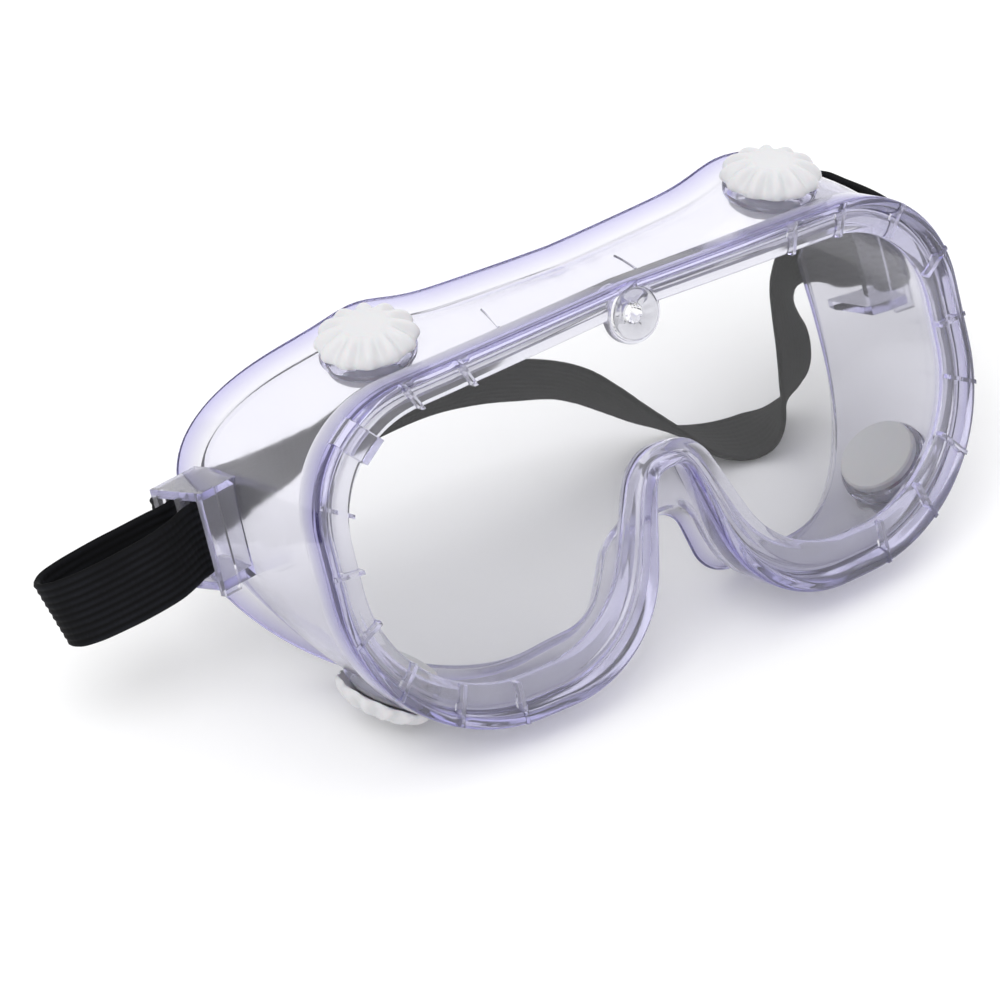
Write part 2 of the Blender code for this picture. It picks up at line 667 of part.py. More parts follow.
def lowest():
    """The lowest point of everything made so far, in the row frame, millimetres."""
    return 1000 * min((ob.location + v.co).z for ob in bpy.data.objects for v in ob.data.vertices)


def clear_scene():
    for ob in list(bpy.data.objects):
        bpy.data.objects.remove(ob, do_unlink=True)
    for mesh in list(bpy.data.meshes):
        bpy.data.meshes.remove(mesh)
    for mat in list(bpy.data.materials):
        bpy.data.materials.remove(mat)


def main():
    clear_scene()
    make_body()
    make_lens()
    for key in VENTS:
        make_vent(key)
    make_button()
    floor = lowest()
    make_strap(floor)
    set_on_floor(floor * 0.001)


main()
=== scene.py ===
"""Clear splash goggles on a pale studio floor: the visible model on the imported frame.

The body, lens, vents and strap are built in millimetres in the lens frame (u across, v up
along the lens, w back towards the face), turned into the row frame in metres, and set on
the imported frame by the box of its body.
"""

import json
import math

import bmesh
import bpy
import numpy as np
from mathutils import Matrix, Vector
from mathutils.kdtree import KDTree


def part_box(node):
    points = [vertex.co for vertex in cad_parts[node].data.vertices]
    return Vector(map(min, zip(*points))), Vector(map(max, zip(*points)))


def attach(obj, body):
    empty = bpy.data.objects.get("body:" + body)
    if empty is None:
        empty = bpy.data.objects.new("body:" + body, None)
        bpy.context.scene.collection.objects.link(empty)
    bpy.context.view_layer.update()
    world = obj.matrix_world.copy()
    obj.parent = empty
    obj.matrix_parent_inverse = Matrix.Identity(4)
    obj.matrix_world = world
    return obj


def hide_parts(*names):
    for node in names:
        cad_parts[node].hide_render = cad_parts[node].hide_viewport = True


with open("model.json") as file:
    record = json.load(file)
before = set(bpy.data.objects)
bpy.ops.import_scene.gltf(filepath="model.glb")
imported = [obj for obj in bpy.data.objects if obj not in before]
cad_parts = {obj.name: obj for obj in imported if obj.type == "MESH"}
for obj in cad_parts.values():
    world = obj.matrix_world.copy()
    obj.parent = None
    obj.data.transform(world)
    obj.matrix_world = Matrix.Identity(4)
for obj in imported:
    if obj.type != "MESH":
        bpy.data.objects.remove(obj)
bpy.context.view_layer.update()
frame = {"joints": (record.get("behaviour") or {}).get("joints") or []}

# ---------------------------------------------------------------- driving sizes
TILT = math.radians(22.0)       # the lens leans back at the top
LENS_BOW = 0.0006               # lens surface: w = LENS_BOW * u * u
GAP = 0.3                       # air between parts that touch

# contours as corners (u, v, corner radius), one half, from the top centre to the nose
OPENING = ((0.0, 30.9), (73.2, 27.4, 22.0), (73.2, -33.2, 30.0), (22.5, -33.2, 24.0),
           (7.8, 1.9, 10.5), (0.0, 1.9))
RIM = ((0.0, 37.2), (80.2, 34.4, 25.5), (80.2, -43.0, 38.0), (13.5, -43.0, 27.0),
       (4.2, -3.2, 3.6), (0.0, -3.2))
FLANGE = ((0.0, 42.0), (80.5, 44.2, 31.0), (85.0, -46.0, 46.0), (15.0, -38.0, 12.0),
          (8.6, -19.6, 6.5), (0.0, -19.0))
# points made along each straight run and each corner of a half contour; from the cheek to
# the nose they are then spaced evenly again, NOSE_STEPS of them
FINE = 3
RUNS = (7 * FINE, 3 * FINE, 12 * FINE, 12 * FINE, 6 * FINE)
CORNERS = (9 * FINE, 9 * FINE, 24 * FINE, 24 * FINE)
NOSE_STEPS = 18 * FINE
# how far back the flange edge lies: top centre, brow, temple top, temple bottom, cheek, nose
EDGE_BACK = (27.0, 29.0, 57.0, 61.5, 22.5, 17.0)
BROW_LIFT, BROW_U, BROW_SPREAD = 2.2, 46.0, 9.0   # the flange rises over each brow

LIP_FLARE, NOSE_FLARE = 3.6, 2.0   # the flange lip turns out by this, less at the nose ...
LIP_DEPTH = 4.2                 # ... over this depth
WALL = 1.8                      # body wall
LIP_T = 1.3                     # flange lip thickness at its edge
RIM_FRONT = -3.6                # front of the outer bead
RIM_BACK = 5.6                  # back of the rim, where the wall starts
LENS_T = 2.0                    # lens thickness
LENS_FRONT = 0.5                # lens front surface at the centre

VENT_TOP_SEAT, VENT_LOW_SEAT = -2.9, -3.6   # inner face of the boss, from the middle of the wall
VENT_CAP_R = 10.9
VENT_CAP_H = 5.4
VENT_RIBS = 12                  # grooves around a cap
VENT_TUBE_R = 7.2
VENT_DISC_R = 8.7
BOSS_R = 9.8
SEAT_TOP = 1.1                  # the seat's top, from the middle of the wall

BUTTON_V = 30.4
BUTTON_R = 5.5
BUTTON_BUMP = 1.0              # the body stands out this far around the button

STRAP_W = 16.0
STRAP_T = 1.4

LUG_FRONT_W = 33.0              # lug: front plate position
LUG_LONG = 15.8
LUG_TALL = 21.4
LUG_MID_V = 7.7
LUG_OUT_U = 88.4
LUG_SLANT = math.radians(14.0)
LUG_SLOT_H = 17.8
LUG_BAR = 2.1
LUG_SLOTS = ((1.6, 6.8), (9.0, 14.2))

STEM_R = 2.3                    # the button's stem, through the lens

MM = 0.001                      # millimetres to metres
CT, ST = math.cos(TILT), math.sin(TILT)
CHEEK = RUNS[0] + CORNERS[0] + RUNS[1] + CORNERS[1]


def to_row(p):
    """A point of the lens frame in the row frame, before the object is set on the floor."""
    u, v, w = p
    return Vector((u, v * ST + w * CT, v * CT - w * ST))


def half_contour(corners):
    """Points of one half of a contour: runs and corners, then even steps from cheek to nose."""
    pts = [Vector(c[:2]) for c in corners]
    arcs = []
    for i in range(1, len(pts) - 1):
        a = (pts[i - 1] - pts[i]).normalized()
        b = (pts[i + 1] - pts[i]).normalized()
        half = a.angle(b) / 2
        radius = corners[i][2]
        cut = radius / math.tan(half)
        centre = pts[i] + (a + b).normalized() * (radius / math.sin(half))
        arcs.append((pts[i] + a * cut, pts[i] + b * cut, centre, radius))
    out = []
    start = pts[0]
    for i, (first, last, centre, radius) in enumerate(arcs):
        for k in range(RUNS[i]):
            out.append(start.lerp(first, k / RUNS[i]))
        a0 = math.atan2(*(first - centre).yx)
        a1 = math.atan2(*(last - centre).yx)
        turn = (a1 - a0 + math.pi) % (2 * math.pi) - math.pi
        for k in range(CORNERS[i]):
            ang = a0 + turn * k / CORNERS[i]
            out.append(centre + Vector((math.cos(ang), math.sin(ang))) * radius)
        start = last
    for k in range(RUNS[-1] + 1):
        out.append(start.lerp(pts[-1], k / RUNS[-1]))
    return out[:CHEEK] + even(out[CHEEK:], NOSE_STEPS)


def even(line, steps):
    """A line of points spaced evenly again."""
    at = [0.0]
    for a, b in zip(line, line[1:]):
        at.append(at[-1] + (b - a).length)
    out = []
    for k in range(steps + 1):
        want = at[-1] * k / steps
        j = min(len(at) - 2, max(i for i in range(len(at)) if at[i] <= want + 1e-9))
        out.append(line[j].lerp(line[j + 1], (want - at[j]) / (at[j + 1] - at[j])))
    return out


def full(half):
    """The closed contour from its half: mirrored, with the two middle points once."""
    mirror = [(-p[0], *p[1:]) for p in half[-2:0:-1]]
    return [tuple(p) for p in half] + mirror


def smooth(t):
    return t * t * (3 - 2 * t)


def edge_back():
    """How far back the flange edge lies at each point of its half contour."""
    steps = (RUNS[0], CORNERS[0], RUNS[1], CORNERS[1], NOSE_STEPS)
    out = []
    for j, count in enumerate(steps):
        a, b = EDGE_BACK[j], EDGE_BACK[j + 1]
        out += [a + (b - a) * (smooth(k / count) if j != 2 else k / count) for k in range(count)]
    return out + [EDGE_BACK[-1]]


def normals(points):
    """Unit normals of a closed contour in the lens plane, pointing away from the opening."""
    n = len(points)
    out = []
    for i in range(n):
        a, b = Vector(points[i - 1][:2]), Vector(points[(i + 1) % n][:2])
        d = (b - a).normalized()
        out.append(Vector((-d.y, d.x)))
    area = sum(points[i - 1][0] * points[i][1] - points[i][0] * points[i - 1][1] for i in range(n))
    return out if area < 0 else [-v for v in out]


def brow(p):
    return BROW_LIFT * math.exp(-((p.x - BROW_U) / BROW_SPREAD) ** 2) if p.y > 20 else 0.0


HALF_I = half_contour(OPENING)
HALF_R = half_contour(RIM)
HALF_F = half_contour(FLANGE)
BACK = edge_back()
INNER = full([(*p, 0.0) for p in HALF_I])
OUTER = full([(*p, 0.0) for p in HALF_R])
EDGE = full([(p.x, p.y + brow(p), BACK[i]) for i, p in enumerate(HALF_F)])
STATIONS = len(INNER)
N_RIM = normals(OUTER)
N_EDGE = normals(EDGE)


def bow(u):
    return LENS_BOW * u * u


def across(i, f, w):
    """A point of station i: f = 0 on the opening, 1 on the rim's outside, at depth w."""
    u = INNER[i][0] + (OUTER[i][0] - INNER[i][0]) * f
    v = INNER[i][1] + (OUTER[i][1] - INNER[i][1]) * f
    return Vector((u, v, w + bow(u)))


def off_rim(i, out, w):
    """A point of station i, out millimetres outside the rim's outer contour, at depth w."""
    u = OUTER[i][0] + N_RIM[i].x * out
    v = OUTER[i][1] + N_RIM[i].y * out
    return Vector((u, v, w + bow(u)))


def off_edge(i, out, w):
    """A point of station i, out millimetres outside the flange edge, w back from it."""
    return Vector((EDGE[i][0] + N_EDGE[i].x * out, EDGE[i][1] + N_EDGE[i].y * out, EDGE[i][2] + w))


def flare(i):
    k = min(i, STATIONS - i)
    t = max(0.0, (k - CHEEK) / NOSE_STEPS)
    return LIP_FLARE + (NOSE_FLARE - LIP_FLARE) * smooth(t)


def skin(i, t):
    """The outer skin of the body wall between the rim (t = 0) and the flange lip (t = 1)."""
    i %= STATIONS
    a = off_rim(i, -0.9, RIM_BACK + 1.0)
    b = off_edge(i, -flare(i), -LIP_DEPTH)
    return a.lerp(b, t) + Vector((N_RIM[i].x, N_RIM[i].y, 0.0)) * (1.1 * math.sin(math.pi * t))


def skin_normal(i, t):
    """Unit normal of the outer skin, pointing away from the space inside."""
    along = skin(i + 1, t) - skin(i - 1, t)
    back = skin(i, min(1.0, t + 0.2)) - skin(i, max(0.0, t - 0.2))
    return back.cross(along).normalized()


def wall_point(i, t, inset):
    """A point of the body wall, inset from its outer skin."""
    return skin(i, t) - skin_normal(i, t) * inset


def lip_inner(i):
    """The inner corner of the flange edge."""
    i %= STATIONS
    along = off_edge((i + 1) % STATIONS, 0, 0) - off_edge((i - 1) % STATIONS, 0, 0)
    back = off_edge(i, 0, 0) - skin(i, 1.0)
    return off_edge(i, 0, 0) - back.cross(along).normalized() * LIP_T - back.normalized() * 0.3


def finish_mesh(bm, name, mat):
    """Writes a mesh given in lens-frame millimetres as an object in row-frame metres."""
    bmesh.ops.remove_doubles(bm, verts=bm.verts, dist=0.0005)
    twisted = [f for f in bm.faces if len(f.verts) == 4]
    bmesh.ops.triangulate(bm, faces=twisted)
    mesh = bpy.data.meshes.new(name)
    for v in bm.verts:
        v.co = to_row(v.co) * MM
    bm.normal_update()
    bmesh.ops.recalc_face_normals(bm, faces=bm.faces)
    bm.to_mesh(mesh)
    bm.free()
    ob = bpy.data.objects.new(name, mesh)
    bpy.context.scene.collection.objects.link(ob)
    if mat:
        mesh.materials.append(mat)
    return ob


def loft(rings, closed_path=True):
    """A mesh through closed rings of equal length, with capped ends on an open path."""
    bm = bmesh.new()
    grid = [[bm.verts.new(p) for p in ring] for ring in rings]
    n, m = len(grid), len(grid[0])
    for i in range(n if closed_path else n - 1):
        for k in range(m):
            a, b = grid[i], grid[(i + 1) % n]
            bm.faces.new((a[k], a[(k + 1) % m], b[(k + 1) % m], b[k]))
    if not closed_path:
        bm.faces.new(grid[0])
        bm.faces.new(grid[-1][::-1])
    bmesh.ops.recalc_face_normals(bm, faces=bm.faces)
    return bm


def frame_at(point, axis):
    """A matrix whose Z is axis, at point, with X as close as can be to the frame's X."""
    z = Vector(axis).normalized()
    across_x = Vector((1.0, 0.0, 0.0))
    x = (across_x - z * across_x.dot(z)).normalized()
    y = z.cross(x)
    m = Matrix((x, y, z)).transposed().to_4x4()
    m.translation = Vector(point)
    return m


def turned(profile, sides, matrix, modulate=None):
    """A solid turned about Z from (radius, height) points; radius 0 at both ends."""
    bm = bmesh.new()
    rings = []
    for k, (r, z) in enumerate(profile):
        if r < 1e-6:
            rings.append([bm.verts.new((0, 0, z))])
            continue
        ring = []
        for j in range(sides):
            a = 2 * math.pi * j / sides
            rr, zz = modulate(k, r, z, a) if modulate else (r, z)
            ring.append(bm.verts.new((rr * math.cos(a), rr * math.sin(a), zz)))
        rings.append(ring)
    for a, b in zip(rings, rings[1:]):
        for j in range(sides):
            j2 = (j + 1) % sides
            if len(a) == 1 and len(b) > 1:
                bm.faces.new((a[0], b[j], b[j2]))
            elif len(b) == 1 and len(a) > 1:
                bm.faces.new((a[j], b[0], a[j2]))
            elif len(a) > 1:
                bm.faces.new((a[j], b[j], b[j2], a[j2]))
    if len(rings[0]) > 1 and len(rings[-1]) > 1:
        for j in range(sides):
            j2 = (j + 1) % sides
            bm.faces.new((rings[-1][j], rings[0][j], rings[0][j2], rings[-1][j2]))
    bmesh.ops.transform(bm, matrix=matrix, verts=bm.verts)
    bmesh.ops.recalc_face_normals(bm, faces=bm.faces)
    return bm


def block(a0, a1, b0, b1, c0, c1, matrix):
    """A box given by its limits in a local frame."""
    bm = bmesh.new()
    bmesh.ops.create_cube(bm, size=1.0)
    for v in bm.verts:
        v.co = Vector((a0 if v.co.x < 0 else a1, b0 if v.co.y < 0 else b1, c0 if v.co.z < 0 else c1))
    bmesh.ops.transform(bm, matrix=matrix, verts=bm.verts)
    bmesh.ops.recalc_face_normals(bm, faces=bm.faces)
    return bm


def apply_boolean(target, tool, operation):
    mod = target.modifiers.new(operation.lower(), "BOOLEAN")
    mod.operation = operation
    mod.solver = "EXACT"
    mod.object = tool
    graph = bpy.context.evaluated_depsgraph_get()
    mesh = bpy.data.meshes.new_from_object(target.evaluated_get(graph), depsgraph=graph)
    target.modifiers.clear()
    old = target.data
    target.data = mesh
    mesh.name = old.name + "_cut"
    bpy.data.meshes.remove(old)
    bpy.data.objects.remove(tool)


def tool_object(bm, name="tool"):
    """A shape that only cuts or joins, and isn't drawn."""
    ob = finish_mesh(bm, name, None)
    ob.hide_render = True
    ob.display_type = "WIRE"
    return ob


def seat_level(key):
    return VENT_LOW_SEAT if key.startswith("bottom") else VENT_TOP_SEAT


def lug_matrix(side):
    """Local frame of a strap lug: X back along its face, Y outward, Z up the lens."""
    sx = 1.0 if side == "right" else -1.0
    x = Vector((sx * math.sin(LUG_SLANT), 0.0, math.cos(LUG_SLANT)))
    y = Vector((sx * math.cos(LUG_SLANT), 0.0, -math.sin(LUG_SLANT)))
    z = Vector((0.0, 1.0, 0.0))
    m = Matrix((x, y, z)).transposed().to_4x4()
    m.translation = Vector((sx * LUG_OUT_U, LUG_MID_V, LUG_FRONT_W))
    return m


def make_lug(side):
    """A strap lug: two end plates, a front wall and two posts, its foot inside the body wall."""
    m = lug_matrix(side)
    tall, slot = LUG_TALL / 2, LUG_SLOT_H / 2
    lug = tool_object(block(0, LUG_LONG, -13, 0, slot, tall, m), "lug")
    pieces = [(0, LUG_LONG, -13, 0, -tall, -slot),
              (0.12, 1.75, -12.8, -0.15, -tall + 0.5, tall - 0.5),
              (LUG_SLOTS[0][1], LUG_SLOTS[1][0], -LUG_BAR, -0.1, -tall + 0.4, tall - 0.4),
              (LUG_SLOTS[1][1], LUG_LONG - 0.1, -LUG_BAR, -0.1, -tall + 0.4, tall - 0.4)]
    for k, limits in enumerate(pieces):
        apply_boolean(lug, tool_object(block(*limits, m)), "UNION")
    depths = (0.0, 0.33, 0.67, 1.0)
    first = RUNS[0] + CORNERS[0]
    near = range(first - 4 * FINE, first + RUNS[1] + 4 * FINE)
    near = near if side == "right" else [STATIONS - i for i in near]
    core = loft([[wall_point(i, t, WALL * 0.55) for t in depths]
                 + [wall_point(i, t, WALL + 8) for t in depths[::-1]] for i in near],
                closed_path=False)
    apply_boolean(lug, tool_object(core), "DIFFERENCE")
    plate = block(-0.9, 0.9, -3.4, 0.9, -tall - 0.8, tall + 0.4, m)
    apply_boolean(lug, tool_object(plate), "UNION")
    return lug


def spline(points):
    """Close points along a smooth curve through the given ones; extra columns are blended."""
    pts = [np.array(p, float) for p in points]
    pts = [2 * pts[0] - pts[1]] + pts + [2 * pts[-1] - pts[-2]]
    dense = []
    for i in range(1, len(pts) - 2):
        p0, p1, p2, p3 = pts[i - 1:i + 3]
        t0 = 0.0
        t1 = t0 + np.linalg.norm(p1 - p0)[()] ** 0.5
        t2 = t1 + np.linalg.norm(p2 - p1) ** 0.5
        t3 = t2 + np.linalg.norm(p3 - p2) ** 0.5
        for k in range(40):
            t = t1 + (t2 - t1) * k / 40
            a1 = (t1 - t) / (t1 - t0) * p0 + (t - t0) / (t1 - t0) * p1
            a2 = (t2 - t) / (t2 - t1) * p1 + (t - t1) / (t2 - t1) * p2
            a3 = (t3 - t) / (t3 - t2) * p2 + (t - t2) / (t3 - t2) * p3
            b1 = (t2 - t) / (t2 - t0) * a1 + (t - t0) / (t2 - t0) * a2
            b2 = (t3 - t) / (t3 - t1) * a2 + (t - t1) / (t3 - t1) * a3
            dense.append((t2 - t) / (t2 - t1) * b1 + (t - t1) / (t2 - t1) * b2)
    dense.append(pts[-2])
    return np.array(dense)


def from_row(x, y, z):
    return (x, y * ST + z * CT, y * CT - z * ST)


def by_lug(side, a, b, v=0.0):
    """A lens-frame point given in the local frame of a lug."""
    return tuple(lug_matrix(side) @ Vector((a, b, v)))


def strap_controls(floor):
    """Centre points and width directions of the strap, from its left end to its right end."""
    up = (0.0, 1.0, 0.0)
    left = [(by_lug("left", a, b), up) for a, b in (
        (9.3, -3.5), (7.9, -3.5), (6.6, -3.4), (5.6, -2.6), (5.2, -1.0), (5.0, 0.8))]
    sag, crease = (-0.10, 0.99, 0.0), (-0.27, 0.95, 0.0)
    left += [(by_lug("left", a, b, v), d) for a, b, v, d in (
        (4.7, 4.0, -0.7, up), (4.8, 9.0, -1.6, sag), (6.6, 15.5, -2.6, sag), (9.4, 22.0, -3.6, crease),
        (12.4, 27.2, -4.3, crease), (15.8, 29.9, -4.7, crease), (19.2, 29.4, -4.8, crease),
        (21.2, 26.6, -4.4, crease), (21.0, 21.6, -3.6, crease), (18.8, 15.0, -2.5, sag),
        (15.8, 8.8, -1.4, sag), (13.2, 3.8, -0.5, up))]
    left += [(by_lug("left", a, b, v), up) for a, b, v in (
        (12.0, 1.2, -0.1), (12.1, -1.0, 0.0), (12.9, -2.8, 0.0), (14.4, -3.7, -0.1),
        (16.4, -4.4, -0.4), (19.5, -5.8, -1.3))]
    left += [((-86.5, 5.4, 57.0), up), ((-86.3, 4.5, 60.6), up), ((-84.4, 4.0, 63.4), up),
             ((-80.6, 3.9, 64.7), up), ((-75.6, 4.4, 65.0), (0.0, 1.0, -0.1))]
    # row frame: place, then the direction of the width
    middle = [(-65.5, 61.0, -18.2, 0.0, -0.05, 0.99), (-53.7, 60.0, -15.6, 0.0, -0.26, 0.96),
              (-36.0, 59.0, -12.9, 0.0, -0.36, 0.93),
              (-17.8, 58.0, -11.7, 0.05, -0.40, 0.91), (-4.8, 57.0, -13.5, 0.08, -0.42, 0.90),
              (6.0, 56.0, -16.9, 0.10, -0.48, 0.87), (14.1, 55.0, -20.6, 0.14, -0.62, 0.78),
              (20.5, 53.8, -25.2, 0.16, -0.76, 0.63), (27.1, 52.2, -30.9, 0.17, -0.87, 0.46),
              (35.6, 49.4, floor + 8.1, 0.14, -0.95, 0.28), (43.6, 46.6, floor + 2.9, 0.05, -0.99, 0.08),
              (51.4, 43.9, floor + 1.15, 0.0, -1.0, 0.0), (56.5, 42.4, floor + 2.1, -0.10, -0.99, 0.10),
              (61.0, 41.9, floor + 5.0, -0.40, -0.85, 0.34), (64.4, 42.2, floor + 9.4, -0.68, -0.60, 0.42),
              (66.6, 43.3, floor + 13.6, -0.80, -0.42, 0.44), (68.6, 45.9, floor + 17.6, -0.80, -0.32, 0.50),
              (70.8, 50.4, floor + 21.6, -0.72, -0.22, 0.64), (73.8, 56.2, floor + 24.0, -0.50, -0.12, 0.82),
              (77.4, 60.6, floor + 25.6, -0.22, -0.04, 0.96), (81.2, 62.7, floor + 27.0, 0.0, 0.0, 1.0),
              (84.8, 61.4, floor + 28.4, 0.0, 0.03, 1.0), (86.7, 58.5, floor + 29.6, 0.0, 0.10, 1.0),
              (86.9, 55.0, floor + 30.8, 0.0, 0.22, 0.97)]
    right = [(by_lug("right", a, b, v), up) for a, b, v in (
        (19.5, -5.6, -0.7), (16.2, -4.3, -0.2), (14.4, -3.7, 0.0), (12.9, -2.8, 0.0), (12.2, -1.0, 0.0),
        (12.1, 0.8, 0.0), (13.2, 2.2, 0.0), (16.5, 2.4, 0.0))]
    right += [(by_lug("right", a, b, v), up) for a, b, v in (
        (24.0, 0.8, 0.6), (33.0, -1.6, 1.4), (41.0, -3.8, 2.2), (45.2, -4.2, 2.6), (48.4, -2.6, 2.8),
        (48.8, 0.4, 2.8), (45.8, 2.6, 2.6), (38.0, 4.2, 1.8), (28.0, 5.6, 1.0), (18.0, 5.9, 0.4),
        (10.6, 4.9, 0.1))]
    right += [(by_lug("right", a, b), up) for a, b in (
        (6.6, 3.0), (5.1, 1.0), (5.2, -1.0), (5.6, -2.6), (6.6, -3.4), (7.9, -3.5), (9.3, -3.5))]
    mid = [(from_row(*row[:3]), from_row(*row[3:])) for row in middle]
    return [(*p, *d) for p, d in left + mid + right]


# ---------------------------------------------------------------- materials
PVC_TINT = (0.905, 0.903, 0.928)
PVC_EDGE = (0.30, 0.262, 0.70)  # along the rim's bead and the flange edge
PVC_DEEP = (0.40, 0.36, 0.86)   # what a long way through the vinyl leaves of white light
PVC_CLEAR = 0.915
PVC_DENSITY = 46.0

RIBS = 10                       # the strap's lengthwise ribs
RIB_PITCH = STRAP_W / RIBS
THREAD_PITCH = 1.3


def sockets(mat):
    """The inputs of a material's Principled shader."""
    mat.use_nodes = True
    return mat.node_tree.nodes["Principled BSDF"].inputs


def new_material(name, colour, rough, **values):
    """A Principled material; values are other sockets, with _ for the spaces of their names."""
    mat = bpy.data.materials.new(name)
    ins = sockets(mat)
    ins["Base Color"].default_value = (*colour, 1.0)
    ins["Roughness"].default_value = rough
    for key, value in values.items():
        ins[key.replace("_", " ")].default_value = value
    return mat


def node(mat, kind, **values):
    """A node with its inputs, or else its settings, set by name."""
    made = mat.node_tree.nodes.new(kind)
    for key, value in values.items():
        if key in made.inputs:
            made.inputs[key].default_value = value
        else:
            setattr(made, key, value)
    return made


def link(mat, a, b):
    mat.node_tree.links.new(a, b)


def bump_from(mat, height, strength, distance):
    made = node(mat, "ShaderNodeBump", Strength=strength, Distance=distance)
    link(mat, height, made.inputs["Height"])
    link(mat, made.outputs["Normal"], sockets(mat)["Normal"])


def noise(mat, scale, detail):
    """A noise from 0 to 1 over the object."""
    coords = node(mat, "ShaderNodeTexCoord")
    made = node(mat, "ShaderNodeTexNoise", Scale=scale, Detail=detail)
    link(mat, coords.outputs["Object"], made.inputs["Vector"])
    return made.outputs["Fac"]


def ramp(mat, source, low, high, value_low, value_high):
    """Maps a source from low..high to value_low..value_high."""
    made = mat.node_tree.nodes.new("ShaderNodeMapRange")
    made.inputs["From Min"].default_value = low
    made.inputs["From Max"].default_value = high
    made.inputs["To Min"].default_value = value_low
    made.inputs["To Max"].default_value = value_high
    link(mat, source, made.inputs["Value"])
    return made.outputs["Result"]


def absorbing(mat, colour, density):
    """Colours the light that passes through the inside of the material."""
    volume = node(mat, "ShaderNodeVolumeAbsorption", Color=(*colour, 1.0), Density=density)
    out = mat.node_tree.nodes["Material Output"]
    link(mat, volume.outputs["Volume"], out.inputs["Volume"])


def clear_pvc():
    """Soft vinyl: see-through, faintly milky, violet where it is thick."""
    mat = new_material("clear_pvc", PVC_TINT, 0.08, Transmission_Weight=PVC_CLEAR, IOR=1.34,
                       Specular_IOR_Level=0.5)
    bump_from(mat, noise(mat, 38.0, 2.0), 0.12, 0.0006)
    link(mat, ramp(mat, noise(mat, 90.0, 4.0), 0.3, 0.7, 0.05, 0.14),
         sockets(mat)["Roughness"])
    edge = node(mat, "ShaderNodeAttribute", attribute_name="edge")
    mix = node(mat, "ShaderNodeMix", data_type="RGBA")
    mix.inputs[6].default_value = (*PVC_TINT, 1.0)
    mix.inputs[7].default_value = (*PVC_EDGE, 1.0)
    link(mat, edge.outputs["Fac"], mix.inputs["Factor"])
    link(mat, mix.outputs[2], sockets(mat)["Base Color"])
    absorbing(mat, PVC_DEEP, PVC_DENSITY)
    return mat


def clear_polycarbonate():
    """Hard clear plastic, faintly rubbed."""
    mat = new_material("clear_polycarbonate", (0.90, 0.902, 0.912), 0.015, Transmission_Weight=1.0,
                       IOR=1.42)
    link(mat, ramp(mat, noise(mat, 60.0, 5.0), 0.35, 0.75, 0.01, 0.035),
         sockets(mat)["Roughness"])
    return mat


def white_plastic():
    """Moulded white plastic with a fine grain."""
    mat = new_material("white_plastic", (0.63, 0.63, 0.645), 0.38, IOR=1.48,
                       Subsurface_Weight=0.12, Subsurface_Scale=0.002)
    bump_from(mat, noise(mat, 1400.0, 2.0), 0.08, 0.0002)
    link(mat, ramp(mat, noise(mat, 120.0, 4.0), 0.3, 0.7, 0.33, 0.46),
         sockets(mat)["Roughness"])
    return mat


def threads(mat, direction, period):
    """A wave across or along the strap, with its period in millimetres."""
    uv = node(mat, "ShaderNodeUVMap", uv_map="length")
    made = node(mat, "ShaderNodeTexWave", wave_type="BANDS", bands_direction=direction,
                Scale=math.pi / 10.0 / period, Distortion=0.0)
    link(mat, uv.outputs["UV"], made.inputs["Vector"])
    return made.outputs["Fac"]


def black_elastic():
    """Woven elastic: fine cross threads on the ribs, slight fuzz, greyer at random where it is rubbed, with
    painted shade darkening the grooves between the ribs.
    """
    mat = new_material("black_elastic", (0.006, 0.006, 0.007), 0.85, Sheen_Weight=0.02,
                       Specular_IOR_Level=0.2, Sheen_Roughness=0.5, IOR=1.4)
    bump_from(mat, threads(mat, "X", THREAD_PITCH), 0.16, 0.0002)
    rub = ramp(mat, noise(mat, 70.0, 4.0), 0.35, 0.75, 0.15, 0.75)
    # a wave across the strap with the ribs' pitch: painted shade, darker in the grooves between the ribs
    groove_shade = ramp(mat, threads(mat, "Y", RIB_PITCH), 0.0, 1.0, 0.0, 1.0)
    both = node(mat, "ShaderNodeMath", operation="MULTIPLY")
    link(mat, rub, both.inputs[0])
    link(mat, groove_shade, both.inputs[1])
    # from black in the grooves (painted shade) to dark grey where the rib crests are rubbed
    mix = node(mat, "ShaderNodeMix", data_type="RGBA")
    mix.inputs[6].default_value = (0.0020, 0.0021, 0.0027, 1.0)
    mix.inputs[7].default_value = (0.0125, 0.0135, 0.0180, 1.0)
    link(mat, both.outputs["Value"], mix.inputs["Factor"])
    link(mat, mix.outputs[2], sockets(mat)["Base Color"])
    return mat


# the cap's flutes: how far each ring of its profile is drawn in and lowered at a groove
CAP_SIDE = (0, 0, 0, 0, 0.6, 0.85, 1.0, 1.1, 1.0, 0.7, 0.35, 0.1, 0, 0, 0, 0, 0)
CAP_DROP = (0, 0, 0, 0, 0, 0, 0.15, 0.5, 0.85, 1.0, 0.85, 0.4, 0, 0, 0, 0, 0)


# ---------------------------------------------------------------- finer pieces
WALL_STEPS = 9                  # from the rim back to the flange
CORNER_CUT = 0.42               # rounding of the section's corners
LENS_REACH = 0.545              # the lens edge lies this share of the way out across the rim
ROUND = 64                      # sides of a turned hole or boss
FINE_ROUND = 96

# fine raised lines on the top wall: u, v of the station, and how far back they reach
WALL_RIDGES = ((-27.0, 37.0, 0.45), (9.0, 37.0, 0.45))
# raised pads across the rim, evenly spaced along it on both sides; one on the left is wide
TAB_FIRST = 40.0                # along the rim from its top centre to the first pad
TAB_SPACING = 15.5
TABS = 9
TAB_W = 0.9
WIDE_TAB = ("left", 2)
WIDE_TAB_W = 6.0
TAB_BACK = -1.0                 # depth of a pad's foot


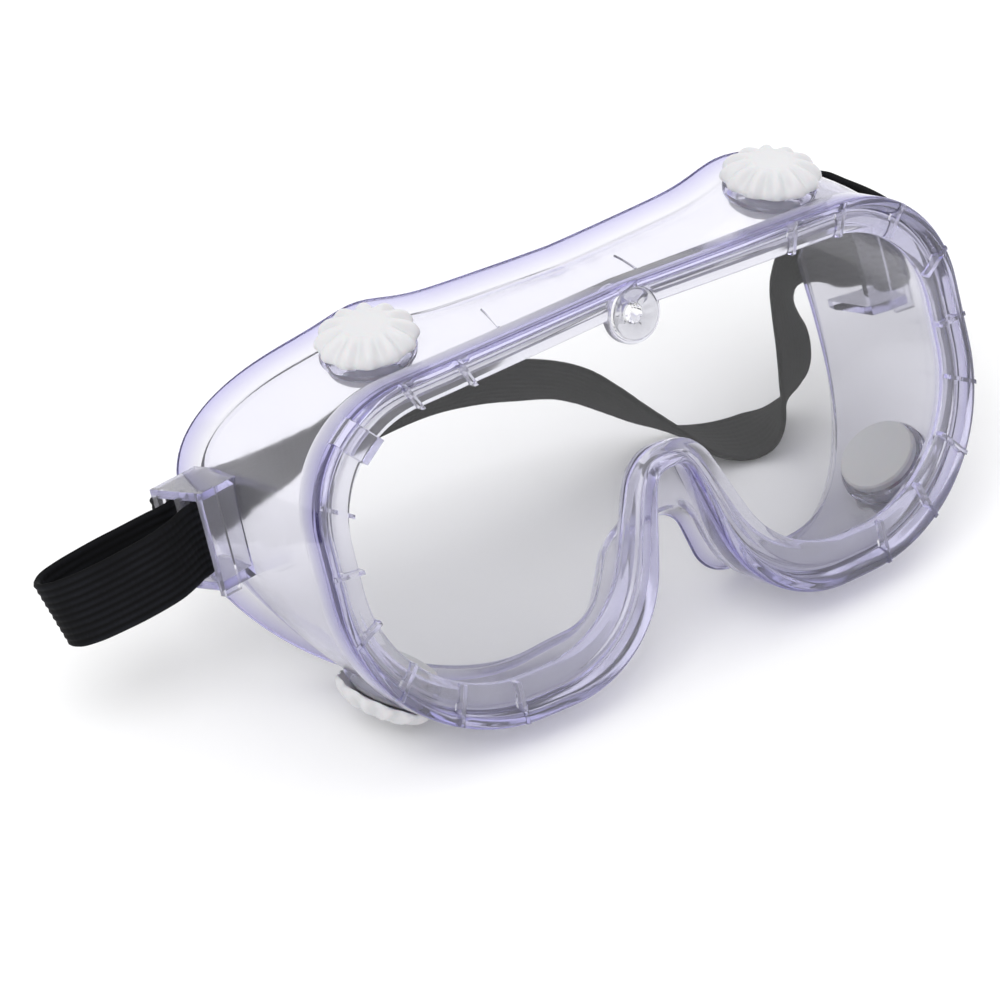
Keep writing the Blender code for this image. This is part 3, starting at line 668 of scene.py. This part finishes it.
def fine_section(i):
    """The closed cross-section of the body at station i, with its outer bead and lip; its corners are
    rounded afterwards.
    """
    edge = off_edge(i, 0, 0)
    front = [across(i, f, w) for f, w in (
        (0.00, LENS_FRONT - GAP), (0.00, -1.1), (0.12, -1.8), (0.44, -1.8), (0.52, -0.7), (0.66, -0.7),
        (0.72, -2.9), (0.80, RIM_FRONT), (0.94, RIM_FRONT), (1.00, -2.9), (1.00, RIM_BACK - 0.6))]
    outer = [skin(i, k / WALL_STEPS) for k in range(WALL_STEPS + 1)]
    inner = [wall_point(i, 1.0 - k / WALL_STEPS, WALL) for k in range(WALL_STEPS + 1)]
    back = [across(i, 0.20, RIM_BACK - 1.0), across(i, 0.14, LENS_FRONT + LENS_T + GAP),
            across(i, 0.62, LENS_FRONT + LENS_T + GAP), across(i, 0.62, LENS_FRONT - GAP)]
    return front + [off_rim(i, -0.5, RIM_BACK)] + outer + [edge, lip_inner(i)] + inner + back


def rounded_together(rings, cut):
    """All rings with the same corners rounded: a corner counts where the mean turn is sharp."""
    n = len(rings[0])
    sharp = []
    for k in range(n):
        turns = []
        for ring in rings[:: max(1, len(rings) // 24)]:
            a, b = ring[k - 1] - ring[k], ring[(k + 1) % n] - ring[k]
            turns.append(math.pi - a.angle(b))
        sharp.append(sum(turns) / len(turns) > math.radians(22.0))
    out = []
    for ring in rings:
        new = []
        for k, p in enumerate(ring):
            if not sharp[k]:
                new.append(p)
                continue
            a, b = ring[k - 1] - p, ring[(k + 1) % n] - p
            q = p + a.normalized() * min(cut, 0.36 * a.length)
            r = p + b.normalized() * min(cut, 0.36 * b.length)
            new += [q, (q + r + p * 2.0) / 4.0, r]
        out.append(new)
    return out


def nearest_station(u, v):
    return min(range(STATIONS), key=lambda i: (OUTER[i][0] - u) ** 2 + (OUTER[i][1] - v) ** 2)


def tab_stations():
    """The stations of the rim's pads on the right side, evenly spaced along the rim."""
    far = 0.0
    out = []
    for i in range(CHEEK + NOSE_STEPS):
        far += (Vector(OUTER[i + 1]) - Vector(OUTER[i])).length
        if len(out) < TABS and far >= TAB_FIRST + TAB_SPACING * len(out):
            out.append(i + 1)
    return out


def rim_tab(i, wide, f0, f1, w0, w1):
    """A small raised pad across the rim at station i."""
    a, b = across(i, f0, 0.0), across(i, f1, 0.0)
    along = (across((i + 1) % STATIONS, f1, 0.0) - across(i - 1, f1, 0.0)).normalized() * (wide / 2)
    bm = bmesh.new()
    vs = []
    for p in (a, b):
        for side in (-1, 1):
            for w in (w0, w1):
                q = p + along * side
                vs.append(bm.verts.new((q.x, q.y, w + bow(q.x))))
    for f in ((0, 1, 3, 2), (4, 6, 7, 5), (0, 4, 5, 1), (2, 3, 7, 6), (0, 2, 6, 4), (1, 5, 7, 3)):
        bm.faces.new([vs[k] for k in f])
    bmesh.ops.recalc_face_normals(bm, faces=bm.faces)
    return bm


def wall_ridge(i, reach, wide=0.5, high=0.35):
    """A fine raised line on the body wall at station i, from the rim back to t = reach."""
    steps = 6
    rings = []
    for k in range(steps + 1):
        t = 0.02 + (reach - 0.02) * k / steps
        along = (skin(i + 1, t) - skin(i - 1, t)).normalized() * (wide / 2)
        n = skin_normal(i, t)
        p = skin(i, t)
        rings.append([p - along - n * 0.5, p - along + n * high * 0.6, p + n * high,
                      p + along + n * high * 0.6, p + along - n * 0.5])
    return loft(rings, closed_path=False)


def fine_body(mat, rings, vents):
    """The vinyl body with its vent bosses, lugs, button pocket, ridges and pads."""
    body = finish_mesh(loft(rings), "goggle_body", mat)
    r = VENT_TUBE_R + GAP
    for p, n in vents.values():
        hole = turned(((0, -6), (r + 0.6, -6), (r + 0.6, 6), (0, 6)), ROUND, frame_at(p, n))
        apply_boolean(body, tool_object(hole), "DIFFERENCE")
    for key, (p, n) in vents.items():
        low = seat_level(key.removeprefix("vent_"))
        profile = ((r, low + 0.2), (r + 0.2, low), (BOSS_R - 0.5, low), (BOSS_R, low + 0.5),
                   (BOSS_R, -1.4), (BOSS_R + 0.5, -1.1), (BOSS_R + 0.4, -0.5), (BOSS_R + 0.1, 0.2),
                   (BOSS_R - 0.3, 0.7), (BOSS_R - 0.9, 0.9), (r + 0.2, 0.9), (r, 0.7))
        apply_boolean(body, tool_object(turned(profile, ROUND, frame_at(p, n))), "UNION")
    for side in ("left", "right"):
        apply_boolean(body, make_lug(side), "UNION")
    m = frame_at((0, BUTTON_V, 0), (0, 0, 1))
    bump = BUTTON_R + BUTTON_BUMP
    front = turned(((0, -2.1), (bump - 0.7, -2.1), (bump - 0.2, -1.9), (bump, -1.4), (bump, 0.1),
                    (0, 0.1)), ROUND, m)
    apply_boolean(body, tool_object(front), "UNION")
    r = BUTTON_R + GAP
    pocket = turned(((0, -6), (r, -6), (r, -0.9), (STEM_R + GAP, -0.9), (STEM_R + GAP, 12), (0, 12)),
                    ROUND, m)
    apply_boolean(body, tool_object(pocket), "DIFFERENCE")
    for u, v, reach in WALL_RIDGES:
        apply_boolean(body, tool_object(wall_ridge(nearest_station(u, v), reach)), "UNION")
    for side in ("left", "right"):
        for k, i in enumerate(tab_stations()):
            station = i if side == "right" else STATIONS - i
            if (side, k) == WIDE_TAB:
                tab = rim_tab(station, WIDE_TAB_W, 0.02, 1.07, -4.1, TAB_BACK)
            else:
                tab = rim_tab(station, TAB_W, 0.03, 0.98, -3.85, TAB_BACK)
            apply_boolean(body, tool_object(tab), "UNION")
    body.data.materials.clear()
    body.data.materials.append(mat)
    mark_edges(body)
    return body


def mark_edges(body, reach=1.7):
    """Stores how close each point is to the rim's outer bead or the flange edge, 0 to 1."""
    lines = [across(i, 1.0, w) for i in range(STATIONS) for w in (-2.6, -0.4, 1.6)]
    lines += [off_edge(i, 0, 0) for i in range(STATIONS)]
    tree = KDTree(len(lines))
    for k, p in enumerate(lines):
        tree.insert(to_row(p) * MM, k)
    tree.balance()
    layer = body.data.attributes.new("edge", "FLOAT", "POINT")
    for k, v in enumerate(body.data.vertices):
        near = tree.find(v.co)[2] / MM
        layer.data[k].value = smooth(max(0.0, 1.0 - near / reach)) ** 1.5


def fine_lens(mat):
    """The curved lens with softened edges and a hole for the button's stem."""
    loop = [across(i, LENS_REACH, 0.0) for i in range(STATIONS)]
    bm = bmesh.new()
    levels = ((0.997, LENS_FRONT), (1.0, LENS_FRONT + 0.15), (1.0, LENS_FRONT + LENS_T - 0.15),
              (0.997, LENS_FRONT + LENS_T))
    rings = [[bm.verts.new((p.x * k, p.y * k, w)) for p in loop] for k, w in levels]
    bm.faces.new(rings[0])
    bm.faces.new(rings[-1][::-1])
    for a, b in zip(rings, rings[1:]):
        for i in range(STATIONS):
            j = (i + 1) % STATIONS
            bm.faces.new((a[i], b[i], b[j], a[j]))
    bmesh.ops.recalc_face_normals(bm, faces=bm.faces)
    for k in range(-38, 39):
        geom = bm.verts[:] + bm.edges[:] + bm.faces[:]
        bmesh.ops.bisect_plane(bm, geom=geom, plane_co=(k * 2.0, 0, 0), plane_no=(1, 0, 0), dist=1e-4)
    bmesh.ops.triangulate(bm, faces=bm.faces)
    for v in bm.verts:
        v.co.z += bow(v.co.x)
    lens = finish_mesh(bm, "goggle_lens", mat)
    hole = turned(((0, -3), (STEM_R + GAP, -3), (STEM_R + GAP, 8), (0, 8)), 48,
                  frame_at((0, BUTTON_V, 0), (0, 0, 1)))
    apply_boolean(lens, tool_object(hole), "DIFFERENCE")
    lens.data.materials.clear()
    lens.data.materials.append(mat)
    return lens


def fine_vent(key, place, mat):
    """The ribbed cap and its ring-shaped seat, with small rounded edges."""
    p, n = place
    m = frame_at(p, n)
    top = SEAT_TOP + GAP
    crown = top + VENT_CAP_H
    low = seat_level(key) - GAP
    seat = turned(((0, low - 1.8), (VENT_DISC_R - 0.4, low - 1.8), (VENT_DISC_R, low - 1.4),
                   (VENT_DISC_R, low), (VENT_TUBE_R, low), (VENT_TUBE_R, top + 0.5), (7.0, top + 0.7),
                   (6.1, top + 0.7), (5.9, top + 0.5), (5.9, low + 0.4), (3.2, low + 0.4),
                   (3.2, top + 0.7), (2.1, top + 0.7), (2.1, low + 0.4), (0, low + 0.4)), FINE_ROUND, m)
    seat = finish_mesh(seat, "vent_ring_" + key, mat)

    def lobes(k, r, z, a):
        wave = 0.5 - 0.5 * math.cos(VENT_RIBS * a)
        groove = wave ** 1.3
        return r - CAP_SIDE[k] * groove, z - CAP_DROP[k] * groove

    r = VENT_CAP_R
    profile = ((0, top - 1.2), (1.8, top - 1.2), (1.8, crown - 1.6), (r - 0.8, top + 0.2),
               (r - 0.2, top + 0.25), (r, top + 0.55), (r - 0.15, top + 1.3), (r - 0.7, top + 2.2),
               (r - 1.5, top + 3.0), (r - 2.6, top + 3.65), (r - 3.9, top + 4.15),
               (r - 5.2, top + 4.5), (4.6, top + 4.6), (4.2, top + 4.5), (3.6, top + 4.55),
               (1.6, top + 4.75), (0, top + 4.8))
    cap = finish_mesh(turned(profile, 240, m, lobes), "vent_lid_" + key, mat)
    return cap, seat


def fine_button(mat):
    """The round button on the lens, with its stem through the lens."""
    m = frame_at((0, BUTTON_V, 0), (0, 0, -1))
    back = LENS_FRONT + LENS_T + GAP
    r = BUTTON_R

    def petals(k, rad, z, a):
        return rad, z + (0.12 * math.cos(8 * a) if k in (3, 4) else 0.0)

    head = turned(((0, 2.25), (0.7, 2.0), (1.2, 1.95), (2.2, 2.6), (3.6, 2.85), (4.6, 2.9), (r - 0.3, 2.65),
                   (r, 2.2), (r, 1.1 + GAP), (r - 0.2, 0.9 + GAP), (STEM_R, 0.9 + GAP),
                   (STEM_R, -back - 3.2), (2.1, -back - 3.4), (0, -back - 3.4)), FINE_ROUND, m, petals)
    return finish_mesh(head, "button_stud", mat)


def strap_line(floor, step=1.15):
    """The strap's centre line and width directions, evenly spaced."""
    dense = spline(strap_controls(floor))
    far = np.concatenate([[0.0], np.cumsum(np.linalg.norm(np.diff(dense[:, :3], axis=0), axis=1))])
    at = np.linspace(0.0, far[-1], int(far[-1] / step) + 1)
    line = np.stack([np.interp(at, far, dense[:, k]) for k in range(dense.shape[1])], axis=1)
    return line, at


def fine_strap(floor, mat):
    """Elastic webbing with lengthwise ribs on both faces."""
    line, at = strap_line(floor)
    half_w, half_t = STRAP_W / 2, STRAP_T / 2
    per = 5
    face = []
    for k in range(RIBS * per + 1):
        x = -1.0 + 2.0 * k / (RIBS * per)
        dip = 0.22 * (0.5 + 0.5 * math.cos(math.pi * 2 * k / per))
        edge = 0.42 * max(0.0, (abs(x) - 0.93) / 0.07) ** 2
        face.append((x * half_w, half_t - dip - edge))
    ring = face + [(x, -t) for x, t in face[::-1]]
    rings = []
    for k, row in enumerate(line):
        p = Vector(row[:3])
        a, b = max(k - 1, 0), min(k + 1, len(line) - 1)
        along = Vector(line[b][:3] - line[a][:3]).normalized()
        wide = Vector(row[3:])
        wide = (wide - along * wide.dot(along)).normalized()
        thick = along.cross(wide).normalized()
        rings.append([p + wide * x + thick * t for x, t in ring])
    strap = loft(rings, closed_path=False)
    layer = strap.loops.layers.uv.new("length")
    count = len(ring)
    strap.verts.index_update()
    for f in strap.faces:
        for corner in f.loops:
            j, k = divmod(corner.vert.index, count)
            corner[layer].uv = (at[j], ring[k][0])
    ob = finish_mesh(strap, "elastic_strap", mat)
    path = [to_row(row[:3]) * MM for row in line[::3]] + [to_row(line[-1][:3]) * MM]
    return ob, path, at[-1] * MM


def smooth_shading(ob, angle):
    """Smooth faces with edges sharper than the angle kept, and flat faces weighted."""
    mesh = ob.data
    for f in mesh.polygons:
        f.use_smooth = True
    mesh.set_sharp_from_angle(angle=math.radians(angle))
    mod = ob.modifiers.new("weighted", "WEIGHTED_NORMAL")
    mod.keep_sharp = True


def place_piece(ob, body_name, cad, angle):
    """Sets a piece on the frame: its place, shading, body and replaced node."""
    ob.data.transform(Matrix.Translation(shift))
    smooth_shading(ob, angle)
    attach(ob, body_name)
    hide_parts(cad)


# ---------------------------------------------------------------- build
pvc, pc = clear_pvc(), clear_polycarbonate()
white, elastic = white_plastic(), black_elastic()

rings = rounded_together([fine_section(i) for i in range(STATIONS)], CORNER_CUT)
pts = np.array([to_row(p)[:] for ring in rings for p in ring]) * MM
low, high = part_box("frame_body")
floor_mm = pts[:, 2].min() / MM
shift = Vector((0.0, (low.y + high.y - pts[:, 1].min() - pts[:, 1].max()) / 2, low.z - pts[:, 2].min()))

vents = {}
for joint in frame["joints"]:
    at = (Vector(joint["pos_m"]) - shift) / MM
    vents[joint["child"]] = (Vector(from_row(*at)), Vector(from_row(*joint["axis"])))
body = fine_body(pvc, rings, vents)
lens = fine_lens(pc)
button = fine_button(pc)
strap, path, strap_length = fine_strap(floor_mm, elastic)
rooted = [(body, "frame_body", "clear_pvc", 40), (lens, "lens", "clear_polycarbonate", 30),
          (button, "lens_button", "clear_polycarbonate", 40), (strap, "strap", "black_elastic", 50)]
for ob, cad, finish, angle in rooted:
    place_piece(ob, "goggles", cad, angle)
for name, place in vents.items():
    key = name.removeprefix("vent_")
    for ob, cad in zip(fine_vent(key, place, white), ("vent_cap_", "vent_seat_")):
        place_piece(ob, name, cad + key, 40)

path = [p + shift for p in path]


# ---------------------------------------------------------------- studio
SKY = 1.04
# lamps: name, place, size, power
LAMPS = (("key", (-0.55, -0.35, 1.1), 0.7, 4.0), ("fill", (0.9, 0.5, 0.9), 0.9, 1.6))
CAMERA_AWAY = 1.130             # from the middle of the lens
AIM_LEFT, AIM_DOWN = 0.0334, 0.0103


def studio():
    """A white room with a pale floor and two soft lamps."""
    world = bpy.data.worlds.new("studio")
    bpy.context.scene.world = world
    world.use_nodes = True
    sky = world.node_tree.nodes["Background"]
    sky.inputs["Color"].default_value = (1.0, 1.0, 1.0, 1.0)
    sky.inputs["Strength"].default_value = SKY
    bm = bmesh.new()
    bmesh.ops.create_grid(bm, x_segments=1, y_segments=1, size=6.0)
    mesh = bpy.data.meshes.new("floor")
    bm.to_mesh(mesh)
    bm.free()
    mat = new_material("pale_floor", (0.95, 0.95, 0.952), 0.9, Specular_IOR_Level=0.05)
    mesh.materials.append(mat)
    plane = bpy.data.objects.new("floor", mesh)
    plane.location.z = -0.0003
    bpy.context.scene.collection.objects.link(plane)
    for name, place, size, power in LAMPS:
        data = bpy.data.lights.new(name, "AREA")
        data.size = size
        data.energy = power
        lamp = bpy.data.objects.new(name, data)
        lamp.location = place
        lamp.rotation_euler = Vector(place).to_track_quat("Z", "Y").to_euler()
        bpy.context.scene.collection.objects.link(lamp)


def camera(target):
    """Seen from the front left, from above, through a long lens."""
    az, el = math.radians(-36.0), math.radians(36.0)
    back = Vector((math.sin(az) * math.cos(el), -math.cos(az) * math.cos(el), math.sin(el)))
    right = Vector((math.cos(az), math.sin(az), 0.0))
    up = back.cross(right)
    place = target + back * CAMERA_AWAY
    aim = target - right * AIM_LEFT - up * AIM_DOWN
    back = (place - aim).normalized()
    right = up.cross(back).normalized()
    up = back.cross(right)
    data = bpy.data.cameras.new("camera")
    data.lens = 197.3
    data.sensor_width = 36.0
    data.clip_start = 0.05
    cam = bpy.data.objects.new("camera", data)
    cam.matrix_world = Matrix.LocRotScale(place, Matrix((right, up, back)).transposed(), None)
    bpy.context.scene.collection.objects.link(cam)
    bpy.context.scene.camera = cam


studio()
camera(shift)
bpy.context.scene.view_settings.view_transform = "Standard"
